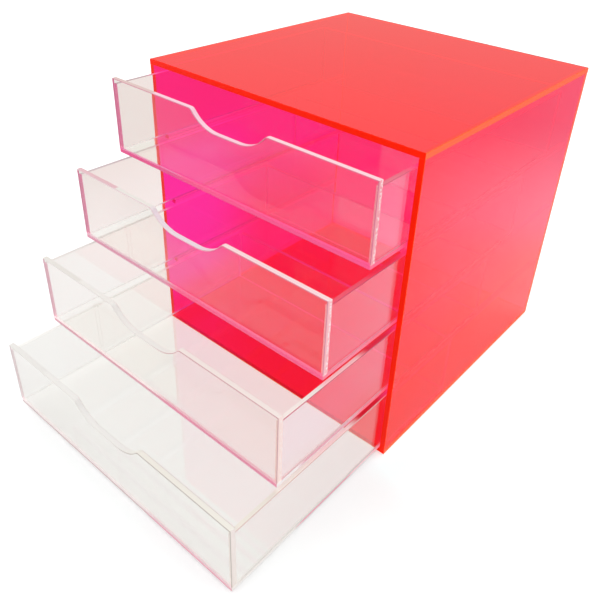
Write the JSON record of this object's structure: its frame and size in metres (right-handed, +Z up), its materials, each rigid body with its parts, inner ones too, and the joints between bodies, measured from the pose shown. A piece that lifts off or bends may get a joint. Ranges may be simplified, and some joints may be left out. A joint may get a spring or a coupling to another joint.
{
  "type": "cube drawer organizer",
  "caption": "Open-fronted cube case of tinted acrylic sheet with clear sliding drawers one above the other, each with a finger scoop in its front.",
  "frame": {"origin": "centre of the underside of the case, on the surface that it stands on", "axes": "+Z up, +Y to the back, +X to the right seen from the front; the drawers pull out towards -Y"},
  "size_m": [0.24, 0.3892, 0.24],
  "materials": {
    "case_acrylic": "polished transparent fluorescent red acrylic",
    "clear_acrylic": "polished clear acrylic, its cut edges tinged pink beside the case"
  },
  "bodies": {
    "case": {"case_bottom": "case_acrylic", "case_top": "case_acrylic", "case_back": "case_acrylic", "case_left_side": "case_acrylic", "case_right_side": "case_acrylic", "runner_left_upper": "clear_acrylic", "runner_right_upper": "clear_acrylic", "runner_left_middle": "clear_acrylic", "runner_right_middle": "clear_acrylic", "runner_left_lower": "clear_acrylic", "runner_right_lower": "clear_acrylic"},
    "drawer_1": {"drawer_1_bottom": "clear_acrylic", "drawer_1_front": "clear_acrylic", "drawer_1_left_side": "clear_acrylic", "drawer_1_right_side": "clear_acrylic", "drawer_1_back": "clear_acrylic"},
    "drawer_2": {"drawer_2_bottom": "clear_acrylic", "drawer_2_front": "clear_acrylic", "drawer_2_left_side": "clear_acrylic", "drawer_2_right_side": "clear_acrylic", "drawer_2_back": "clear_acrylic"},
    "drawer_3": {"drawer_3_bottom": "clear_acrylic", "drawer_3_front": "clear_acrylic", "drawer_3_left_side": "clear_acrylic", "drawer_3_right_side": "clear_acrylic", "drawer_3_back": "clear_acrylic"},
    "drawer_4": {"drawer_4_bottom": "clear_acrylic", "drawer_4_front": "clear_acrylic", "drawer_4_left_side": "clear_acrylic", "drawer_4_right_side": "clear_acrylic", "drawer_4_back": "clear_acrylic"}
  },
  "joints": [
    {"name": "drawer_1_slide", "type": "slide", "parent": "case", "child": "drawer_1", "axis": [0, -1, 0], "range_m": [-0.0373, 0.1627]},
    {"name": "drawer_2_slide", "type": "slide", "parent": "case", "child": "drawer_2", "axis": [0, -1, 0], "range_m": [-0.0746, 0.1254]},
    {"name": "drawer_3_slide", "type": "slide", "parent": "case", "child": "drawer_3", "axis": [0, -1, 0], "range_m": [-0.1119, 0.0881]},
    {"name": "drawer_4_slide", "type": "slide", "parent": "case", "child": "drawer_4", "axis": [0, -1, 0], "range_m": [-0.1492, 0.0508]}
  ]
}
